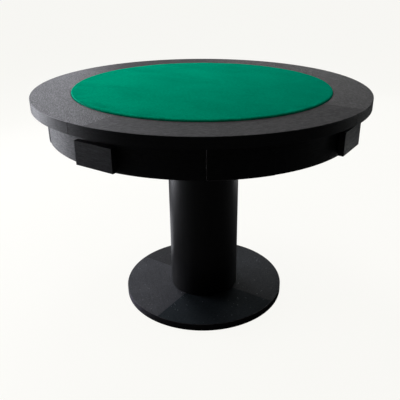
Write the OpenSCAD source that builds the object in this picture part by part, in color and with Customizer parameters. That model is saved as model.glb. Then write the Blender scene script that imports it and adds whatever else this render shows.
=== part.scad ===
// Round pedestal poker table: a ring-shaped wooden top round a loose felt-covered insert, a curved apron
// with four pull-out cup and chip drawers, and a tubular column on a round base.
// Millimetres. The origin is the centre of the base on the floor, +Z is up, and the drawers lie on X and Y.

/* [Table] */
// Diameter of the top over its edge band
top_d = 1100; // [1080:10:1160]
// Height of the ring's upper face above the floor
table_h = 775; // [740:5:800]

/* [Top] */
// Width of the ring, from the edge band to the felt well
ring_w = 122; // [110:1:130]
// Thickness of the ring boards
ring_t = 18; // [18:0.5:22]
// Thickness of the full disc under the ring
sub_top_t = 15; // [12:1:18]
// Thickness of the edge band glued round the rim
band_t = 2; // [1.5:0.5:3]
// How far the edge band's joints are turned from the ring's joints, in degrees
band_turn = -6; // [-12:1:12]

/* [Felt insert] */
// Clearance between the felt and the wall of its well
insert_gap = 1.2; // [1:0.1:3]
// Thickness of the insert's board
insert_board_t = 12; // [9:1:14]
// Thickness of the foam under the felt
foam_t = 9.6; // [6:0.2:12]
// Rounding of the foam's upper edge
foam_r = 5; // [3:0.5:8]
// Thickness of the felt
felt_t = 1.2; // [0.8:0.1:2]
// How far the felt wraps back under the board
felt_wrap = 30; // [20:1:60]

/* [Apron] */
// Outside diameter of the apron
apron_d = 1010; // [1000:5:1020]
// Depth of the apron below the top
apron_h = 99; // [96:1:110]
// Thickness of the curved apron boards
apron_t = 15; // [12:1:15]
// Angle covered by each splice panel between two apron boards
splice_angle = 21; // [16:1:26]
// How far a splice panel stands proud of the apron
splice_proud = 1.5; // [0.5:0.1:3]

/* [Drawers] */
// Width of a drawer's flat face
face_w = 133; // [126:1:140]
// Height of a drawer's flat face
face_h = 70; // [68:1:76]
// How far the face stops above the apron's lower edge
face_lift = 6; // [0:0.5:8]
// Thickness of a drawer's flat face
face_t = 18; // [15:1:20]
// Width of the tray behind the face
tray_w = 114; // [112:1:116]
// Height of the tray
tray_h = 46; // [44:1:47]
// Length of the tray
tray_l = 300; // [290:1:302]
// How far a drawer pulls out before its stop lugs meet the apron
travel = 230; // [220:1:230]
// Inside diameter of the cup
cup_d = 75; // [70:1:76]
// Width of a chip trough
chip_d = 42; // [40:0.5:42]
// Length of a chip trough
trough_l = 110; // [80:1:112]

/* [Column] */
// Outside diameter of the column
column_d = 250; // [220:5:280]
// Wall of the column tube
column_wall = 12; // [8:1:15]
// Thickness of the discs that plug the tube's ends
plug_t = 25; // [18:1:30]
// Diameter of the mounting disc between column and top
mount_d = 400; // [360:10:404]
// Thickness of the mounting disc
mount_t = 25; // [20:1:28]

/* [Base] */
// Diameter of the base over its edge band
base_d = 590; // [560:10:640]
// Thickness of the base board
base_t = 22; // [20:1:28]
// Thickness of the veneered panels on the base board
veneer_t = 3; // [2:0.5:4]
// How far the glides hold the base above the floor
glide_h = 2; // [1:0.5:4]

/* [Hidden] */
$fn = 120;
// Clearances: between glued curved faces, between butted panels, and round a screw in its hole
skin_gap = 0.1;
joint_gap = 0.3;
hole_gap = 0.1;
edge_r = 1.2; // rounding of outside corners
arris = 0.8; // chamfer of small corners

// Heights
base_z = glide_h;
veneer_z = base_z + base_t;
foot_z = veneer_z + veneer_t; // upper face of the base, where the column stands
ring_z = table_h - ring_t;
sub_top_z = ring_z - sub_top_t;
mount_z = sub_top_z - mount_t;
apron_z = sub_top_z - apron_h;
board_z = ring_z + felt_t;
foam_z = board_z + insert_board_t;

// Radii
ring_ro = top_d / 2 - band_t;
well_r = ring_ro - ring_w;
felt_r = well_r - insert_gap;
apron_ro = apron_d / 2;
apron_ri = apron_ro - apron_t;
block_t = 33;
block_ro = apron_ri - skin_gap;
block_ri = block_ro - block_t;
block_angle = splice_angle + 10;
base_ro = base_d / 2 - band_t;

// Drawer, measured along its own pull direction from the table's axis
face_x = apron_ro + 0.5; // back of the flat face
face_z = apron_z + face_lift;
tray_x = face_x - tray_l; // rear end of the tray
tray_z = apron_z + 12;
tray_top = tray_z + tray_h;
cup_x = face_x - 55;
cup_wall = 1.2;
cup_flange = 5; // how far the cup's rim overlaps the tray
cup_hole_r = cup_d / 2 + cup_wall + 0.3;
cup_floor = 2; // how far the cup stays above the tray's underside
trough_x = cup_x - cup_hole_r - 14; // outer end of the chip troughs
trough_y = chip_d / 2 + 2;
trough_z = tray_z + 30; // centre of a trough's half-round bottom
tail_l = 65; // open frame at the tray's rear end
tail_bar = 16;
lug_h = 11; // height of the stop lugs on the tray
lug_l = 10;
lug_x = sqrt(pow(apron_ri, 2) - pow(tray_w / 2, 2)) - 0.6 - travel - lug_l;
groove_z = tray_z + 17.7;
groove_h = 10.6;
groove_d = 6;
dowel_d = 8;
dowel_l = 30;
dowel_y = 43;
dowel_z = tray_z + 23;

// Opening in the apron and the guides behind it
slide_gap = 2;
opening_w = tray_w + 2 * slide_gap;
opening_z = apron_z + 8;
opening_h = 56;
guide_t = 15;
guide_x = 215;
guide_h = sub_top_z - apron_z - 7;
strip_h = 10;
strip_w = slide_gap + groove_d - 0.5;

// Fasteners
screw_d = 4.5;
screw_head_d = 9;
screw_head_h = 3;
screw_sink = 1; // how far the apron screws' heads lie below the splice blocks' curved faces
long_screw = 45;
short_screw = 35;
apron_screw = 42;
rod_d = 12;
rod_hole_d = 14;
nut_af = 19; // across flats
nut_h = 10;
washer_d = 37;
washer_h = 3;
tie_pocket_d = 42;
tie_pocket_h = nut_h + washer_h + 1;
glide_d = 30;
glide_pocket = 3;
glide_count = 6;
glide_circle_r = 260;
plug_screw_r = 90;
mount_screw_r = 165;

SIDES = ["right", "back", "left", "front"]; // drawer i is turned i * 90 degrees from +X
CORNERS = ["back_right", "back_left", "front_left", "front_right"]; // centred 45 degrees past side i

NODES = concat(
    ["base_plate", "base_band", "glides", "column_tube", "column_bottom_plug", "column_top_plug"],
    ["tie_rod", "tie_nuts", "tie_washers", "mount_disc", "column_screws", "sub_top", "top_screws"],
    ["splice_blocks", "apron_screws", "runner_strips", "insert_board", "insert_foam", "felt_cover"],
    [for (c = CORNERS) str("base_veneer_", c)],
    [for (c = CORNERS) str("ring_", c)],
    [for (c = CORNERS) str("rim_band_", c)],
    [for (c = CORNERS) str("splice_panel_", c)],
    [for (s = SIDES) str("apron_", s)],
    [for (s = SIDES) str("guides_", s)],
    [for (s = SIDES, p = ["face", "tray", "cup", "dowels"]) str("drawer_", s, "_", p)]
);
node = "all";

BLACK = [0.09, 0.09, 0.1];
STAINED = [0.14, 0.14, 0.15];
RAW_BOARD = [0.66, 0.52, 0.36];
RAW_WOOD = [0.78, 0.63, 0.42];
STEEL = [0.7, 0.7, 0.72];
FELT_GREEN = [0.02, 0.46, 0.32];

// ---- shared shapes ----

module turn_to(i) rotate([0, 0, 90 * i]) children();

module both_hands() for (h = [0, 1]) mirror([0, h, 0]) children();

// A rectangle from [r0, z0] to [r1, z1] whose outer top corner is rounded
module rounded_section(r0, r1, z0, z1, r) difference() {
    translate([r0, z0]) square([r1 - r0, z1 - z0]);
    difference() {
        translate([r1 - r, z1 - r]) square(r + 1);
        translate([r1 - r, z1 - r]) circle(r);
    }
}

// Turns a section about Z over span degrees, centred on middle
module sweep(middle, span) rotate([0, 0, middle - span / 2]) rotate_extrude(angle = span) children();

module tube_section(r0, r1, z0, z1) translate([r0, z0]) square([r1 - r0, z1 - z0]);

// Angle that a gap of w covers at radius r
function gap_angle(w, r) = w / r * 180 / PI;

// A box from a to b whose twelve edges are chamfered by c
module chamfered_box(a, b, c) {
    s = b - a;
    module outline(w, h) polygon([
        [c, 0], [w - c, 0], [w, c], [w, h - c], [w - c, h], [c, h], [0, h - c], [0, c]
    ]);
    translate(a) intersection() {
        linear_extrude(s.z) outline(s.x, s.y);
        translate([0, s.y, 0]) rotate([90, 0, 0]) linear_extrude(s.y) outline(s.x, s.z);
        rotate([90, 0, 90]) linear_extrude(s.x) outline(s.y, s.z);
    }
}

// What is cut from an upright edge at the Z axis to round it by r; the solid lies towards -X and -Y
module edge_cut(r, h) linear_extrude(h) polygon(concat(
    [[1, -r], [1, 1], [-r, 1]],
    [for (a = [0:30:90]) [r * (sin(a) - 1), r * (cos(a) - 1)]]
));

// Countersunk wood screw pointing down, with its head flush at z = 0
module screw(l) rotate_extrude() polygon([
    [0, 0], [screw_head_d / 2, 0], [screw_d / 2, -screw_head_h], [screw_d / 2, -l], [0, -l]
]);

module screw_hole(l) {
    r = screw_d / 2 + hole_gap;
    head_r = screw_head_d / 2 + hole_gap;
    rotate_extrude() polygon([
        [0, 2], [head_r, 2], [head_r, 0], [r, -screw_head_h], [r, -l - 1], [0, -l - 1]
    ]);
}

// ---- screw positions ----

module at_guide_screws() for (i = [0:3], x = [260, 440], h = [-1, 1])
    turn_to(i) translate([x, h * (opening_w + guide_t) / 2, ring_z]) children();

module at_block_screws() for (i = [0:3], a = [-8, 8])
    rotate([0, 0, 90 * i + 45 + a]) translate([block_ri + block_t / 2, 0, ring_z]) children();

module at_mount_screws() for (i = [0:7])
    rotate([0, 0, 45 * i + 22.5]) translate([mount_screw_r, 0, ring_z]) children();

module at_apron_screws(corner) for (a = [-1, 0, 1], z = [27, 72])
    rotate([0, 0, 90 * corner + 45 + a * (splice_angle / 2 + 2.5)])
        translate([block_ri + screw_sink, 0, apron_z + z]) rotate([0, -90, 0]) children();

module at_plug_screws() for (i = [0:3]) rotate([0, 0, 90 * i + 45]) translate([plug_screw_r, 0, 0]) children();

module at_glides() for (i = [0:glide_count - 1])
    rotate([0, 0, 360 / glide_count * (i + 0.5)]) translate([glide_circle_r, 0, 0]) children();

// ---- base ----

module base_plate() color(BLACK) difference() {
    translate([0, 0, base_z]) cylinder(h = base_t, r = base_ro - skin_gap);
    translate([0, 0, base_z - 1]) cylinder(h = tie_pocket_h + 1, d = tie_pocket_d);
    cylinder(h = foot_z + 1, d = rod_hole_d);
    at_plug_screws() translate([0, 0, base_z]) mirror([0, 0, 1]) screw_hole(long_screw);
    at_glides() translate([0, 0, base_z - 1]) cylinder(h = glide_pocket + 1, d = glide_d + 2 * hole_gap);
}

module base_veneer(corner) color(STAINED) difference() {
    sweep(90 * corner + 45, 90 - gap_angle(joint_gap, base_ro))
        tube_section(rod_hole_d / 2, base_ro - skin_gap, veneer_z, foot_z);
    at_plug_screws() translate([0, 0, base_z]) mirror([0, 0, 1]) screw_hole(long_screw);
}

module base_band() color(BLACK) rotate_extrude()
    rounded_section(base_ro, base_d / 2, base_z, foot_z, edge_r);

module glides() color("dimgray") at_glides() rotate_extrude() polygon([
    [0, 0], [glide_d / 2 - arris, 0], [glide_d / 2, arris],
    [glide_d / 2, glide_h + glide_pocket], [0, glide_h + glide_pocket]
]);

// ---- column ----

module column_tube() color(BLACK) rotate_extrude()
    tube_section(column_d / 2 - column_wall, column_d / 2, foot_z, mount_z);

module plug(z) translate([0, 0, z]) difference() {
    cylinder(h = plug_t, r = column_d / 2 - column_wall - skin_gap);
    translate([0, 0, -1]) cylinder(h = plug_t + 2, d = rod_hole_d);
}

module column_bottom_plug() color(RAW_BOARD) difference() {
    plug(foot_z);
    at_plug_screws() translate([0, 0, base_z]) mirror([0, 0, 1]) screw_hole(long_screw);
}

module column_top_plug() color(RAW_BOARD) difference() {
    plug(mount_z - plug_t);
    at_plug_screws() translate([0, 0, sub_top_z]) screw_hole(long_screw);
}

module mount_disc() color(RAW_BOARD) difference() {
    translate([0, 0, mount_z]) cylinder(h = mount_t, d = mount_d);
    translate([0, 0, mount_z - 1]) cylinder(h = mount_t + 2, d = rod_hole_d);
    translate([0, 0, sub_top_z - tie_pocket_h]) cylinder(h = tie_pocket_h + 1, d = tie_pocket_d);
    at_plug_screws() translate([0, 0, sub_top_z]) screw_hole(long_screw);
    at_mount_screws() screw_hole(short_screw);
}

module column_screws() color(STEEL) at_plug_screws() {
    translate([0, 0, base_z]) mirror([0, 0, 1]) screw(long_screw);
    translate([0, 0, sub_top_z]) screw(long_screw);
}

module tie_rod() color(STEEL) translate([0, 0, base_z + 1])
    cylinder(h = sub_top_z - base_z - 2, d = rod_d);

// The lower and the upper end of the tie rod, each with its pocket's floor at z = 0
module at_rod_ends() {
    translate([0, 0, base_z + tie_pocket_h]) mirror([0, 0, 1]) children();
    translate([0, 0, sub_top_z - tie_pocket_h]) children();
}

module tie_washers() color(STEEL) at_rod_ends() difference() {
    cylinder(h = washer_h, d = washer_d);
    translate([0, 0, -1]) cylinder(h = washer_h + 2, d = rod_d + 1);
}

module tie_nuts() color(STEEL) at_rod_ends() translate([0, 0, washer_h]) difference() {
    cylinder(h = nut_h, r = nut_af / 2 / cos(30), $fn = 6);
    translate([0, 0, -1]) cylinder(h = nut_h + 2, d = rod_d + 0.1);
}

// ---- top ----

module sub_top() color(RAW_BOARD) difference() {
    translate([0, 0, sub_top_z]) cylinder(h = sub_top_t, r = ring_ro);
    at_guide_screws() screw_hole(long_screw);
    at_block_screws() screw_hole(long_screw);
    at_mount_screws() screw_hole(short_screw);
}

module ring_board(corner) color(STAINED)
    sweep(90 * corner + 45, 90 - gap_angle(joint_gap, ring_ro)) polygon([
        [well_r, ring_z], [ring_ro, ring_z], [ring_ro, table_h],
        [well_r + arris, table_h], [well_r, table_h - arris]
    ]);

module rim_band(corner) color(BLACK)
    sweep(90 * corner + 45 + band_turn, 90 - gap_angle(joint_gap, ring_ro))
        rounded_section(ring_ro + skin_gap, top_d / 2, sub_top_z, table_h, edge_r);

module top_screws() color(STEEL) {
    at_guide_screws() screw(long_screw);
    at_block_screws() screw(long_screw);
    at_mount_screws() screw(short_screw);
}

// ---- felt insert ----

module insert_board() color(RAW_BOARD)
    translate([0, 0, board_z]) cylinder(h = insert_board_t, r = felt_r - felt_t - skin_gap);

module insert_foam() color("white") rotate_extrude()
    rounded_section(0, felt_r - felt_t - skin_gap, foam_z, foam_z + foam_t - skin_gap, foam_r);

module felt_cover() color(FELT_GREEN) rotate_extrude() difference() {
    rounded_section(0, felt_r, ring_z, foam_z + foam_t + felt_t, foam_r + felt_t);
    rounded_section(-1, felt_r - felt_t, board_z, foam_z + foam_t, foam_r);
    translate([-1, ring_z - 1]) square([felt_r - felt_wrap + 1, felt_t + 2]);
}

// ---- apron ----

module apron_board(side) color(BLACK) difference() {
    sweep(90 * side, 90 - splice_angle - 2 * gap_angle(joint_gap, apron_ro)) polygon([
        [apron_ri, apron_z], [apron_ro - arris, apron_z], [apron_ro, apron_z + arris],
        [apron_ro, sub_top_z], [apron_ri, sub_top_z]
    ]);
    turn_to(side) translate([apron_ri - 20, -opening_w / 2, opening_z])
        cube([apron_t + 40, opening_w, opening_h]);
    for (c = [side, side + 3]) at_apron_screws(c) screw_hole(apron_screw);
}

module splice_panel(corner) color(BLACK) difference() {
    sweep(90 * corner + 45, splice_angle) polygon([
        [apron_ri, apron_z], [apron_ro + splice_proud - arris, apron_z],
        [apron_ro + splice_proud, apron_z + arris], [apron_ro + splice_proud, sub_top_z],
        [apron_ri, sub_top_z]
    ]);
    rotate([0, 0, 90 * corner + 45]) both_hands() rotate([0, 0, splice_angle / 2])
        translate([apron_ro + splice_proud, 0, apron_z - 1]) edge_cut(edge_r, apron_h + 1);
    at_apron_screws(corner) screw_hole(apron_screw);
}

module splice_blocks() color(RAW_WOOD) difference() {
    for (c = [0:3]) sweep(90 * c + 45, block_angle) tube_section(block_ri, block_ro, apron_z + 2, sub_top_z);
    for (c = [0:3]) at_apron_screws(c) screw_hole(apron_screw);
    at_block_screws() screw_hole(long_screw);
}

module apron_screws() color(STEEL) for (c = [0:3]) at_apron_screws(c) screw(apron_screw);

// ---- drawers ----

module guides(side) color(RAW_WOOD) difference() {
    turn_to(side) both_hands() translate([guide_x, opening_w / 2, sub_top_z - guide_h])
        cube([sqrt(pow(apron_ri, 2) - pow(opening_w / 2 + guide_t, 2)) - 0.5 - guide_x, guide_t, guide_h]);
    at_guide_screws() screw_hole(long_screw);
}

module runner_strips() color(RAW_WOOD) for (i = [0:3]) turn_to(i) both_hands()
    translate([guide_x, opening_w / 2 - strip_w, groove_z + (groove_h - strip_h) / 2])
        cube([apron_ri - 15 - guide_x, strip_w, strip_h]);

module drawer_face(side) color(BLACK) turn_to(side) difference() {
    chamfered_box([face_x, -face_w / 2, face_z], [face_x + face_t, face_w / 2, face_z + face_h], arris);
    both_hands() dowel_shape(hole_gap / 2, 0.5);
}

// A dowel across the joint of face and tray, grown sideways and lengthways for its hole
module dowel_shape(grow, longer) translate([face_x - dowel_l + 10 - longer, dowel_y, dowel_z])
    rotate([0, 90, 0]) cylinder(h = dowel_l + 2 * longer, r = dowel_d / 2 + grow);

module drawer_dowels(side) color(RAW_WOOD) turn_to(side) both_hands() dowel_shape(0, 0);

// A round-bottomed trough that a row of chips lies in
module chip_trough() {
    translate([trough_x - trough_l, trough_y, trough_z]) rotate([0, 90, 0]) cylinder(h = trough_l, d = chip_d);
    translate([trough_x - trough_l, trough_y - chip_d / 2, trough_z]) cube([trough_l, chip_d, tray_h]);
}

module drawer_tray(side) color(STAINED) turn_to(side) difference() {
    union() {
        translate([tray_x, -tray_w / 2, tray_z]) cube([tray_l, tray_w, tray_h]);
        both_hands() translate([lug_x, tray_w / 2 - tail_bar, tray_z])
            cube([lug_l, tail_bar, tray_h + lug_h]);
    }
    translate([tray_x + tail_bar, tail_bar - tray_w / 2, tray_z - 1])
        cube([tail_l - tail_bar, tray_w - 2 * tail_bar, tray_h + lug_h + 2]);
    translate([cup_x, 0, tray_z - 1]) cylinder(h = tray_h + 2, r = cup_hole_r);
    both_hands() chip_trough();
    both_hands() translate([tray_x - 1, tray_w / 2 - groove_d, groove_z])
        cube([apron_ri - 5 - tray_x, groove_d + 1, groove_h]);
    both_hands() dowel_shape(hole_gap / 2, 0.5);
}

module drawer_cup(side) color(STEEL) turn_to(side) translate([cup_x, 0, 0]) {
    r = cup_d / 2;
    floor_z = tray_z + cup_floor;
    rotate_extrude() polygon([
        [0, floor_z], [r + cup_wall, floor_z], [r + cup_wall, tray_top],
        [r + cup_flange, tray_top], [r + cup_flange, tray_top + cup_wall],
        [r, tray_top + cup_wall], [r, floor_z + cup_wall], [0, floor_z + cup_wall]
    ]);
}

// ---- output ----

function shown(name) = node == "all" || node == name;

if (shown("base_plate")) base_plate();
if (shown("base_band")) base_band();
if (shown("glides")) glides();
if (shown("column_tube")) column_tube();
if (shown("column_bottom_plug")) column_bottom_plug();
if (shown("column_top_plug")) column_top_plug();
if (shown("tie_rod")) tie_rod();
if (shown("tie_nuts")) tie_nuts();
if (shown("tie_washers")) tie_washers();
if (shown("mount_disc")) mount_disc();
if (shown("column_screws")) column_screws();
if (shown("sub_top")) sub_top();
if (shown("top_screws")) top_screws();
if (shown("splice_blocks")) splice_blocks();
if (shown("apron_screws")) apron_screws();
if (shown("runner_strips")) runner_strips();
if (shown("insert_board")) insert_board();
if (shown("insert_foam")) insert_foam();
if (shown("felt_cover")) felt_cover();
for (i = [0:3]) {
    if (shown(str("base_veneer_", CORNERS[i]))) base_veneer(i);
    if (shown(str("ring_", CORNERS[i]))) ring_board(i);
    if (shown(str("rim_band_", CORNERS[i]))) rim_band(i);
    if (shown(str("splice_panel_", CORNERS[i]))) splice_panel(i);
    if (shown(str("apron_", SIDES[i]))) apron_board(i);
    if (shown(str("guides_", SIDES[i]))) guides(i);
    if (shown(str("drawer_", SIDES[i], "_face"))) drawer_face(i);
    if (shown(str("drawer_", SIDES[i], "_tray"))) drawer_tray(i);
    if (shown(str("drawer_", SIDES[i], "_cup"))) drawer_cup(i);
    if (shown(str("drawer_", SIDES[i], "_dowels"))) drawer_dowels(i);
}
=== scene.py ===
"""The looks of the round poker table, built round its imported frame. Metres, +Z up, origin on the floor."""
import math
import random

import bmesh
import bpy
from mathutils import Matrix, Vector, noise


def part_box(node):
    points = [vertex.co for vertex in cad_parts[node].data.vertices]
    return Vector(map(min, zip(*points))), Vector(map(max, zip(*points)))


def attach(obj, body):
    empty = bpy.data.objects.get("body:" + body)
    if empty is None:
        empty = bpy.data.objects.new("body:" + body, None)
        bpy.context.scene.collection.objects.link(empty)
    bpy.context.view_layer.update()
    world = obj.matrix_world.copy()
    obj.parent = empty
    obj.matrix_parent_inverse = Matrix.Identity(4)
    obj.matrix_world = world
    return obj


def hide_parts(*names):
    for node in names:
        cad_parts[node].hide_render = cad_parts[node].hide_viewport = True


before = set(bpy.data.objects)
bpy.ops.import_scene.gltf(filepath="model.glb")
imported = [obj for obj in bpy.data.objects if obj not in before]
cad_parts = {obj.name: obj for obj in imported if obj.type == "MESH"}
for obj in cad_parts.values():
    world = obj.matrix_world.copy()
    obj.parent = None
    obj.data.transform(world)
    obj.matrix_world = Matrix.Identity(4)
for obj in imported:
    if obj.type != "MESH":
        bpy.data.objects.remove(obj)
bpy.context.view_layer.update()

MM = 0.001
TURN = 2 * math.pi
SIDES = ("right", "back", "left", "front")  # side i lies i * 90 degrees round from +X
CORNERS = ("back_right", "back_left", "front_left", "front_right")  # corner i lies 45 degrees past side i

# The camera: azimuth 0 looks along +Y, and turns towards +X
CAMERA_AZIMUTH = 33.69
CAMERA_AWAY = 1.7456
CAMERA_HEIGHT = 1.1529
CAMERA_DOWN = 24.43
CAMERA_YAW = 1.62
CAMERA_ROLL = 0.26
CAMERA_LENS = 47.17
CAMERA_SHIFT = -0.0428


# ---- materials ----

# Stained wood: how its corners are rounded and worn, and how deep its pores are
CORNER_ROUND = 1.6 * MM
PANEL_ROUND = 2.2 * MM
WORN_WIDTH = 1.2 * MM
WORN_COLOUR = (0.13, 0.12, 0.115)
VENEER_WEAR = 0.35
PORE_DEPTH = 0.06 * MM

# The base: the side of its edging that faces the window, painted paler there as painted light, the place
# where sweepings have gathered, and a patch beside the column painted darkest as painted shade
LIT_SIDE_WAY = (-0.94, -0.34, 0)
BASE_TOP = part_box("base_veneer_front_left")[1].z
DUST_SPOT = (-0.085, -0.235, BASE_TOP)
DUST_REACH = 65 * MM
# A patch beside the column painted almost black: painted shade
SHADE_SPOT = (0.23, 0.02, BASE_TOP)
SHADE_REACH = 190 * MM
SHADE_MIDDLE = 30 * MM
SHADE_COLOUR = (0.004, 0.004, 0.005)
DUST_COLOUR = (0.085, 0.09, 0.105)
SPECK_COLOUR = (0.5, 0.52, 0.56)

# The felt: the side the window light comes from, towards which its colour and its edge are painted lighter
# as painted light, and the side where patches by its edge are painted darker, for rucked nap and painted
# shade of its dents
WINDOW_WAY = (-0.97, -0.25, 0)
RUCKED_SHADED_SIDE = (0.45, -0.89, 0)
RUCK_SHADE_START = 0.375  # metres from the middle
RUCK_SHADE_FULL = 0.412

# Tone and roughness of each quarter of the ring
RING_TONES = {"back_right": (0.93, 0.42), "back_left": (1.52, 0.42),
              "front_left": (1.1, 0.38), "front_right": (0.95, 0.5)}

# Tone, dust, roughness and coolness of each quarter of the base
BASE_TONES = {"back_right": (0.72, 0.3, 0.46, 0.35), "back_left": (0.7, 0.2, 0.46, 0.0),
              "front_left": (1.95, 1.15, 0.46, 0.0), "front_right": (0.22, 0.03, 0.54, 1.0)}

# How far each quarter of the rim has its top corner painted pale: rubbed wear, and a painted highlight on
# the quarters towards the window
RIM_RUBBED_AND_LIT = {"back_right": 0.02, "back_left": 0.12, "front_left": 0.4, "front_right": 0.02}


class Shader:
    """A material being made: its Principled node, and short calls for the nodes that feed it."""

    def __init__(self, name, values):
        self.material = bpy.data.materials.new(name)
        self.material.use_nodes = True
        self.tree = self.material.node_tree
        self.surface = self.tree.nodes["Principled BSDF"]
        self.set(values)

    def set(self, values):
        """Sets the surface's sockets to plain values, or links what comes from another node."""
        self.fill(self.surface, values)

    def fill(self, node, values):
        for socket, value in values.items():
            if isinstance(value, bpy.types.NodeSocket):
                self.tree.links.new(value, node.inputs[socket])
            else:
                node.inputs[socket].default_value = value

    def add(self, kind, values, **settings):
        node = self.tree.nodes.new("ShaderNode" + kind)
        for name, value in settings.items():
            setattr(node, name, value)
        self.fill(node, values)
        return node

    def math(self, operation, *values):
        return self.add("Math", dict(enumerate(values)), operation=operation).outputs[0]

    def ramp(self, value, low, high, to_low=0.0, to_high=1.0):
        """Takes value from low..high to to_low..to_high with soft ends."""
        values = {"Value": value, "From Min": low, "From Max": high, "To Min": to_low, "To Max": to_high}
        return self.add("MapRange", values, interpolation_type="SMOOTHSTEP").outputs[0]

    def mix(self, share, a, b):
        a, b = (tuple(c) + (1,) if isinstance(c, tuple) and len(c) == 3 else c for c in (a, b))
        return self.add("Mix", {0: share, 6: a, 7: b}, data_type="RGBA").outputs[2]

    def multiply(self, a, b):
        return self.add("Mix", {0: 1.0, 6: a, 7: b}, data_type="RGBA", blend_type="MULTIPLY").outputs[2]

    def flat_coords(self, turn=0.0):
        """The row's frame, turned so that x runs along the direction turn (degrees)."""
        place = self.add("TexCoord", {}).outputs["Object"]
        rotation = (0, 0, -math.radians(turn))
        return self.add("Mapping", {"Vector": place, "Rotation": rotation}).outputs[0]

    def round_coords(self, centre=(0, 0, 0)):
        """Cylinder coordinates round an upright axis: length round the axis, height, distance from it."""
        place = self.add("TexCoord", {}).outputs["Object"]
        shifted = self.add("VectorMath", {0: place, 1: centre}, operation="SUBTRACT").outputs[0]
        x, y, z = self.add("SeparateXYZ", {0: shifted}).outputs
        away = self.math("SQRT", self.math("ADD", self.math("MULTIPLY", x, x), self.math("MULTIPLY", y, y)))
        around = self.math("MULTIPLY", self.math("ARCTAN2", y, x), away)
        return self.add("CombineXYZ", {0: around, 1: z, 2: away}).outputs[0]

    def noise(self, place, scale, detail=3.0, rough=0.5, swirl=0.0):
        """Noise with a scale per metre, or one scale for each direction of place."""
        if isinstance(scale, tuple):
            place = self.add("Mapping", {"Vector": place, "Scale": scale}).outputs[0]
            scale = 1.0
        values = {"Vector": place, "Scale": scale, "Detail": detail, "Roughness": rough, "Distortion": swirl}
        return self.add("TexNoise", values).outputs[0]

    def specks(self, place, scale, size, share):
        """Small round spots. Of the cells, 1/scale metres wide, a share holds one of up to size cells."""
        cell = self.add("TexVoronoi", {"Vector": place, "Scale": scale, "Randomness": 1.0})
        pick, width, _ = self.add("SeparateColor", {0: cell.outputs["Color"]}).outputs
        radius = self.math("MULTIPLY", width, size)
        inside = self.math("LESS_THAN", cell.outputs["Distance"], radius)
        return self.math("MULTIPLY", inside, self.math("LESS_THAN", pick, share))

    def dot(self, a, b):
        return self.add("VectorMath", {0: a, 1: b}, operation="DOT_PRODUCT").outputs["Value"]

    def distance(self, a, b):
        return self.add("VectorMath", {0: a, 1: b}, operation="DISTANCE").outputs["Value"]

    def facing(self):
        """The direction that the surface faces."""
        return self.add("NewGeometry", {}).outputs["Normal"]

    def rounded(self, width, samples=6):
        """The direction that the surface would face if its corners were rounded by width."""
        return self.add("Bevel", {"Radius": width}, samples=samples).outputs[0]

    def corners(self):
        """1 on the corners of a piece, 0 on its faces."""
        return self.ramp(self.dot(self.rounded(WORN_WIDTH, 4), self.facing()), 0.99, 0.85)

    def clockwise(self):
        """The level direction that runs clockwise round the table's axis."""
        place = self.add("NewGeometry", {}).outputs["Position"]
        flat = self.add("VectorMath", {0: place, 1: (1, 1, 0)}, operation="MULTIPLY").outputs[0]
        across = self.add("VectorMath", {0: flat, 1: (0, 0, 1)}, operation="CROSS_PRODUCT").outputs[0]
        return self.add("VectorMath", {0: across}, operation="NORMALIZE").outputs[0]

    def bump(self, height, depth, under=None):
        values = {"Height": height, "Distance": depth, "Strength": 1.0}
        if under is not None:
            values["Normal"] = under
        return self.add("Bump", values).outputs[0]


def grained(shader, place, dark, light, wear, rough):
    """Stained wood whose grain runs along place's first direction, its corners worn pale by a share."""
    pores = shader.noise(place, (90, 1300, 1300), 2.0, 0.6)
    streaks = shader.noise(place, (9, 150, 150), 4.0, 0.62, 0.5)
    mottle = shader.noise(place, (55, 230, 230), 3.0, 0.6)
    open_pore = shader.ramp(pores, 0.6, 0.42)
    tone = shader.math("ADD", shader.math("MULTIPLY", streaks, 0.5), shader.math("MULTIPLY", mottle, 0.5))
    colour = shader.mix(shader.ramp(tone, 0.34, 0.66), dark, light)
    colour = shader.mix(shader.math("MULTIPLY", open_pore, 0.6), colour, tuple(c * 0.35 for c in dark))
    rubbed = shader.math("MULTIPLY", shader.ramp(mottle, 0.3, 0.7), wear)
    colour = shader.mix(shader.math("MULTIPLY", shader.corners(), rubbed), colour, WORN_COLOUR)
    rough = shader.math("ADD", rough, shader.math("MULTIPLY", open_pore, 0.25))
    height = shader.math("SUBTRACT", shader.math("MULTIPLY", streaks, 0.25), open_pore)
    bumped = shader.bump(height, PORE_DEPTH, shader.rounded(CORNER_ROUND))
    shader.set({"Base Color": colour, "Roughness": rough, "Normal": bumped})
    return colour


def veneer(name, grain, tone, rough):
    """Black-stained open-grain veneer, with its grain along the direction grain (degrees)."""
    shader = Shader(name, {"IOR": 1.5})
    dark = tuple(tone * c for c in (0.010, 0.009, 0.010))
    light = tuple(tone * c for c in (0.040, 0.036, 0.039))
    grained(shader, shader.flat_coords(grain), dark, light, VENEER_WEAR, rough)
    return shader.material


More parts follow.
